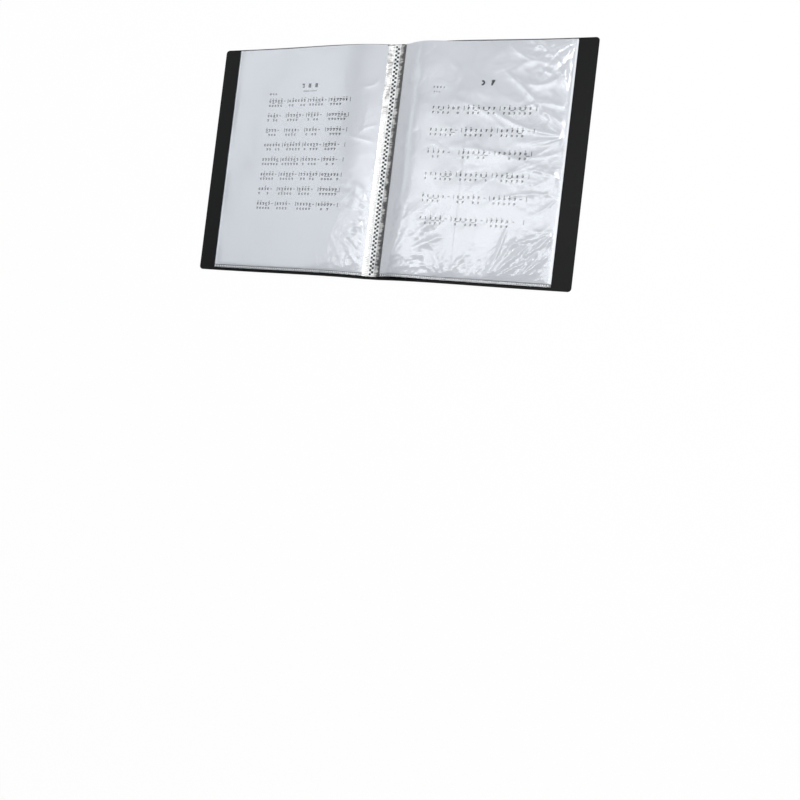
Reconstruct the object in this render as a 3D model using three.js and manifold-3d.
// A display-book music folder, lying open at its middle on a table.
// Two plastic covers fold up at creases beside a narrow spine. Clear film pockets, welded
// together in a checkered band down the spine, spread over both covers, and a sheet of paper
// lies in the topmost pocket on each side.
// Millimetres. X runs across the open folder, Y up its pages, and Z up from the table.

import * as THREE from "three";
import { mergeVertices } from "three/addons/utils/BufferGeometryUtils.js";
import Module from "manifold-3d";

const wasm = await Module();
wasm.setup();

// Driving dimensions
const openWidth = 500; // both covers and the spine, measured along the table
const coverHeight = 308;
const coverThickness = 0.9;
const coverCornerRadius = 4.5; // on the four outer corners
const spineWidth = 20; // from crease to crease
const creaseLip = 0.45; // sheet left under the score line at each crease
const creaseScoreWidth = 1.3; // half of the score line, on either side of the crease
const creaseGap = 0.3; // break that lets the covers turn
const coverCrown = 4; // how high a cover bows over the table
const crownFromCrease = 60;

const bottomMargin = 3.5; // black left showing under the pockets
const pocketHeight = 303.1;
const seamHeight = 4.2; // weld that closes a pocket's lower end
const filmThickness = 0.12;
const sheetWidth = 210;
const sheetHeight = 297;
const sheetThickness = 0.12;
const sheetPlay = 0.3; // air around a sheet, above the seam
const clearance = 0.3; // air between one layer and the next

const weldWidth = 8.4; // checkered band that joins the pockets
const weldThickness = 1.2;
const diamondWidth = 2.2;
const diamondHeight = 2.7;
const diamondPitch = 5.4;
const diamondColumnGap = 3.6;
const diamondDepth = 0.6;
const weldEndMargin = 1.5; // plain ends of the band

const pocketsFromCrease = 2; // where the flat part of the pockets begins
const archStep = 4; // spacing of the stations over the arch beside the spine
const flatStep = 12;
const filmArchStep = 6;
const filmStep = 9; // between the rows of stations up the topmost film
const seamStep = 1; // length over which the top film steps down to its seam

// What differs between the two halves. Distances are measured out from the spine's middle.
const left = {
  side: -1,
  stackThickness: 1.8, // the pockets under the topmost one
  stackReach: 226,
  filmReach: 226,
  filmFlatStep: 18,
  sheetInner: 12.9,
  sheetTurn: 0.35, // degrees, anticlockwise
  archHeight: 0.6, // how far the pockets lift off the cover
  archPeak: 36,
  archEnd: 84,
};
const right = {
  side: 1,
  stackThickness: 1.8,
  stackReach: 226,
  filmReach: 223.9,
  filmFlatStep: 9,
  sheetInner: 12.8,
  sheetTurn: -0.3,
  archHeight: 4,
  archPeak: 36,
  archEnd: 84,
};

// Folds and creases of the topmost film, as long low ridges. x is measured out from the
// spine's middle, turn is in degrees from the X axis, anticlockwise on the drawing.
left.ridges = [
  { x: 40, y: -76, length: 52, width: 7, height: 0.7, turn: 118 },
  { x: 27, y: -104, length: 40, width: 6, height: 0.7, turn: 35 },
  { x: 50, y: -118, length: 46, width: 8, height: 0.6, turn: 62 },
  { x: 30, y: 62, length: 40, width: 9, height: 0.4, turn: 95 },
];
right.ridges = [
  { x: 104, y: 2, length: 290, width: 5, height: 0.5, turn: 90 },
  { x: 199, y: 126, length: 46, width: 7, height: 0.8, turn: 124 },
  { x: 172, y: 127, length: 60, width: 9, height: 0.7, turn: 158 },
  { x: 180, y: 78, length: 78, width: 8, height: 0.8, turn: 134 },
  { x: 168, y: 40, length: 90, width: 10, height: 0.6, turn: 158 },
  { x: 58, y: -92, length: 60, width: 8, height: 0.7, turn: 52 },
  { x: 46, y: -122, length: 44, width: 7, height: 0.7, turn: 76 },
  { x: 84, y: -118, length: 48, width: 8, height: 0.5, turn: 128 },
  { x: 172, y: -122, length: 70, width: 9, height: 0.7, turn: 46 },
  { x: 200, y: -108, length: 50, width: 8, height: 0.7, turn: 36 },
];

// Worked out from the driving dimensions
const creaseX = spineWidth / 2;
const panelWidth = (openWidth - spineWidth) / 2;
const coverBottom = -coverHeight / 2;
const coverTop = coverHeight / 2;
const pocketBottom = coverBottom + bottomMargin;
const pocketTop = pocketBottom + pocketHeight;
const seamTop = pocketBottom + seamHeight;
const weldEdge = weldWidth / 2;
const stackInner = creaseX + pocketsFromCrease;

// Numbers from a first to a last one, spaced evenly and at most a step apart.
function stations(first, last, step) {
  const count = Math.max(1, Math.ceil((last - first) / step));
  return Array.from({ length: count + 1 }, (_, i) => first + ((last - first) * i) / count);
}

// Stations across one half, closer together over the arch beside the spine.
function pageStations(half, inner, outer, overArch = archStep, overFlat = flatStep) {
  const turn = Math.min(half.archEnd, (inner + outer) / 2);
  return [...stations(inner, turn, overArch), ...stations(turn, outer, overFlat).slice(1)];
}

// How high the underside of a cover is, at a distance from its crease.
function coverBow(fromCrease) {
  if (fromCrease <= 0 || fromCrease >= panelWidth) return 0;
  const beyond = panelWidth - crownFromCrease;
  const rise = fromCrease / crownFromCrease;
  const fall = (panelWidth - fromCrease) / beyond;
  return coverCrown * rise * fall ** (beyond / crownFromCrease);
}

// How far the pockets of one half lift off what lies under them.
function archLift(half, out) {
  if (out <= weldEdge || out >= half.archEnd) return 0;
  const span = out < half.archPeak ? half.archPeak - weldEdge : half.archEnd - half.archPeak;
  const away = Math.abs(out - half.archPeak) / span;
  return half.archHeight * Math.cos((away * Math.PI) / 2) ** 2;
}

// The underside of the pockets at a distance out from the spine's middle.
function pocketFloor(half, out) {
  return coverBow(out - creaseX) + coverThickness + clearance + archLift(half, out);
}

// The layers of one half, each as its height over the pocket floor.
function layers(half) {
  const sheetUnder = half.stackThickness + clearance;
  const filmUnder = sheetUnder + sheetThickness + clearance;
  return { sheetUnder, filmUnder, top: filmUnder + filmThickness };
}

// How far the topmost film stands up from its rest at a place on the page.
function filmRidges(half, out, y) {
  const upper = Math.min(1, Math.max(0, (pocketTop - y) / filmStep));
  return half.ridges.reduce((height, ridge) => {
    const turn = THREE.MathUtils.degToRad(ridge.turn);
    const along = (out - ridge.x) * Math.cos(turn) + (y - ridge.y) * Math.sin(turn);
    const across = (y - ridge.y) * Math.cos(turn) - (out - ridge.x) * Math.sin(turn);
    const reach = Math.exp(-(((2 * along) / ridge.length) ** 4));
    return Math.max(height, ridge.height * upper * reach * Math.exp(-((across / ridge.width) ** 2)));
  }, 0);
}

// A geometry with one vertex at each corner, so that its faces share their edges.
function joined(geometry) {
  const plain = geometry.clone();
  plain.deleteAttribute("normal");
  plain.deleteAttribute("uv");
  return mergeVertices(plain, 1e-4);
}

function toSolid(geometry) {
  const { index, attributes } = joined(geometry);
  return new wasm.Manifold(
    new wasm.Mesh({
      numProp: 3,
      vertProperties: new Float32Array(attributes.position.array),
      triVerts: new Uint32Array(index.array),
    }),
  );
}

function toGeometry(solid) {
  const { vertProperties, triVerts } = solid.getMesh();
  const geometry = new THREE.BufferGeometry();
  geometry.setAttribute("position", new THREE.BufferAttribute(vertProperties, 3));
  geometry.setIndex(new THREE.BufferAttribute(triVerts, 1));
  geometry.computeVertexNormals();
  return geometry;
}

// A layer over a grid of stations, between two heights. The outline can be turned about its
// middle, and the heights are then read where each corner has moved to. Both faces are split
// along the same diagonals, so a thin layer never crosses itself.
function layer(xs, ys, under, over, turn = 0) {
  const middle = new THREE.Vector2(xs[0] + xs.at(-1), ys[0] + ys.at(-1)).divideScalar(2);
  const corners = [];
  for (const height of [over, under])
    for (const y of ys)
      for (const x of xs) {
        const place = new THREE.Vector2(x, y).rotateAround(middle, turn);
        corners.push(place.x, place.y, height(place.x, place.y));
      }
  const wide = xs.length;
  const lower = wide * ys.length;
  const faces = [];
  const quad = (a, b, c, d) => faces.push(a, b, c, a, c, d);
  for (let row = 0; row + 1 < ys.length; row++)
    for (let column = 0; column + 1 < wide; column++) {
      const a = row * wide + column;
      const [b, c, d] = [a + 1, a + wide + 1, a + wide];
      quad(a, b, c, d);
      quad(a + lower, d + lower, c + lower, b + lower);
      if (row === 0) quad(a + lower, b + lower, b, a);
      if (row === ys.length - 2) quad(c + lower, d + lower, d, c);
      if (column === 0) quad(d + lower, a + lower, a, d);
      if (column === wide - 2) quad(b + lower, c + lower, c, b);
    }
  const geometry = new THREE.BufferGeometry();
  geometry.setAttribute("position", new THREE.Float32BufferAttribute(corners, 3));
  geometry.setIndex(faces);
  geometry.computeVertexNormals();
  return geometry;
}

// A layer of one half, whose stations and heights are given outwards from the spine.
function halfLayer(half, outs, ys, under, over, turn = 0) {
  const xs = half.side > 0 ? outs : outs.map((out) => -out).reverse();
  const height = (rule) => (x, y) => rule(half.side * x, y);
  return layer(xs, ys, height(under), height(over), turn);
}

// One cover panel: a bowed sheet, scored thin beside its crease, with its outer corners
// rounded.
function coverPanel(half) {
  const overhang = coverCornerRadius;
  const start = creaseX + creaseGap / 2;
  const score = creaseX + creaseScoreWidth;
  const outs = [start, score, ...stations(score + creaseLip, openWidth / 2 + overhang, flatStep)];
  const under = (out) => coverBow(out - creaseX);
  const thickness = (out) => (out <= score ? creaseLip : coverThickness);
  const sheet = halfLayer(
    half,
    outs,
    [coverBottom - overhang, coverTop + overhang],
    under,
    (out) => under(out) + thickness(out),
  );
  return toGeometry(toSolid(sheet).intersect(toSolid(panelOutline(half, start))));
}

// A block with the outline of a cover panel, tall enough to hold the whole bow.
function panelOutline(half, start) {
  const outer = openWidth / 2;
  const arc = coverCornerRadius;
  const outline = new THREE.Shape();
  outline.moveTo(start, coverBottom);
  outline.lineTo(outer - arc, coverBottom);
  outline.absarc(outer - arc, coverBottom + arc, arc, -Math.PI / 2, 0, false);
  outline.absarc(outer - arc, coverTop - arc, arc, 0, Math.PI / 2, false);
  outline.lineTo(start, coverTop);
  outline.closePath();
  const tall = 4 * (coverCrown + coverThickness);
  const block = new THREE.ExtrudeGeometry(outline, { depth: tall, bevelEnabled: false });
  block.translate(0, 0, -tall / 2);
  if (half.side < 0) block.rotateZ(Math.PI);
  return block;
}

// The flat strip between the creases, scored thin along both long edges.
function spinePanel() {
  const edge = creaseX - creaseGap / 2;
  const shoulder = creaseX - creaseScoreWidth;
  const section = new THREE.Shape();
  section.moveTo(-edge, 0);
  section.lineTo(edge, 0);
  section.lineTo(edge, creaseLip);
  section.lineTo(shoulder, creaseLip);
  section.lineTo(shoulder - creaseLip, coverThickness);
  section.lineTo(creaseLip - shoulder, coverThickness);
  section.lineTo(-shoulder, creaseLip);
  section.lineTo(-edge, creaseLip);
  section.closePath();
  const strip = new THREE.ExtrudeGeometry(section, { depth: coverHeight, bevelEnabled: false });
  strip.rotateX(Math.PI / 2);
  strip.translate(0, coverTop, 0);
  return strip;
}

// The band that welds all the pockets together, with two staggered columns of diamond pits.
function pocketWeld() {
  const floor = coverThickness + clearance;
  const top = floor + weldThickness;
  const strip = new THREE.BoxGeometry(weldWidth, pocketHeight, weldThickness);
  strip.translate(0, (pocketBottom + pocketTop) / 2, (floor + top) / 2);
  const pits = [];
  const first = pocketBottom + weldEndMargin + diamondHeight / 2;
  const last = pocketTop - weldEndMargin - diamondHeight / 2;
  for (const column of [-1, 1]) {
    const offset = column > 0 ? diamondPitch / 2 : 0;
    for (let y = first + offset; y <= last; y += diamondPitch) {
      const pit = new THREE.ConeGeometry(1, 2 * diamondDepth, 4);
      pit.rotateX(-Math.PI / 2);
      pit.scale(diamondWidth, diamondHeight, 1);
      pit.translate((column * diamondColumnGap) / 2, y, top);
      pits.push(toSolid(pit));
    }
  }
  return toGeometry(toSolid(strip).subtract(wasm.Manifold.union(pits)));
}

// The soft strip of film between the weld and the flat part of the pockets.
function pocketRoots(half) {
  const inner = weldEdge + clearance;
  const outer = stackInner - clearance;
  const { top } = layers(half);
  const swell = (out) => THREE.MathUtils.mapLinear(out, weldEdge, stackInner, weldThickness, top);
  return halfLayer(
    half,
    stations(inner, outer, archStep / 2),
    [pocketBottom, pocketTop],
    (out) => pocketFloor(half, out),
    (out) => pocketFloor(half, out) + swell(out),
  );
}

// The pockets under the topmost one, with the sheets they hold, as one stack.
function pocketStack(half) {
  return halfLayer(
    half,
    pageStations(half, stackInner, half.stackReach),
    [pocketBottom, pocketTop],
    (out) => pocketFloor(half, out),
    (out) => pocketFloor(half, out) + half.stackThickness,
  );
}

// The sheet of paper in the topmost pocket, turned a little in it.
function paperSheet(half) {
  const turn = THREE.MathUtils.degToRad(half.sheetTurn);
  const drop = (sheetWidth / 2) * Math.abs(Math.sin(turn));
  const foot = seamTop + sheetPlay + drop;
  const { sheetUnder } = layers(half);
  return halfLayer(
    half,
    pageStations(half, half.sheetInner, half.sheetInner + sheetWidth),
    [foot, foot + sheetHeight],
    (out) => pocketFloor(half, out) + sheetUnder,
    (out) => pocketFloor(half, out) + sheetUnder + sheetThickness,
    turn,
  );
}

// The clear front of the topmost pocket, ridged where it has crumpled, and down on the
// stack along its lower seam.
function topFilm(half) {
  const { sheetUnder, filmUnder } = layers(half);
  const under = (out, y) => {
    const onSeam = y < seamTop - seamStep / 2;
    const rest = onSeam ? sheetUnder : filmUnder + filmRidges(half, out, y);
    return pocketFloor(half, out) + rest;
  };
  return halfLayer(
    half,
    pageStations(half, stackInner, half.filmReach, filmArchStep, half.filmFlatStep),
    [pocketBottom, seamTop - seamStep, ...stations(seamTop, pocketTop, filmStep)],
    under,
    (out, y) => under(out, y) + filmThickness,
  );
}

const coverFinish = { color: 0x161718, roughness: 0.5, metalness: 0 };
const filmFinish = { color: 0xd8dee6, roughness: 0.15, metalness: 0, transparent: true };
const sheetFinish = { color: 0xf2f4f6, roughness: 0.85, metalness: 0 };
const weldFinish = { color: 0xe4e6e6, roughness: 0.35, metalness: 0 };

function piece(name, geometry, finish) {
  const mesh = new THREE.Mesh(geometry, new THREE.MeshStandardMaterial(finish));
  mesh.name = name;
  return mesh;
}

// A cover with everything that turns with it.
function folderHalf(half, coverName, prefix) {
  const group = new THREE.Group();
  group.add(
    piece(coverName, coverPanel(half), coverFinish),
    piece(prefix + "_pockets", pocketStack(half), { ...filmFinish, opacity: 0.9 }),
    piece(prefix + "_sheet", paperSheet(half), sheetFinish),
    piece(prefix + "_pocket_film", topFilm(half), { ...filmFinish, opacity: 0.35 }),
  );
  return group;
}

// The spine with the welded roots of the pockets.
function folderSpine() {
  const group = new THREE.Group();
  group.add(
    piece("spine_panel", spinePanel(), coverFinish),
    piece("pocket_weld", pocketWeld(), weldFinish),
    piece("left_pocket_roots", pocketRoots(left), { ...filmFinish, opacity: 0.6 }),
    piece("right_pocket_roots", pocketRoots(right), { ...filmFinish, opacity: 0.6 }),
  );
  return group;
}

const folder = new THREE.Group();
folder.add(
  folderSpine(),
  folderHalf(left, "front_cover", "left"),
  folderHalf(right, "back_cover", "right"),
);

export default folder;
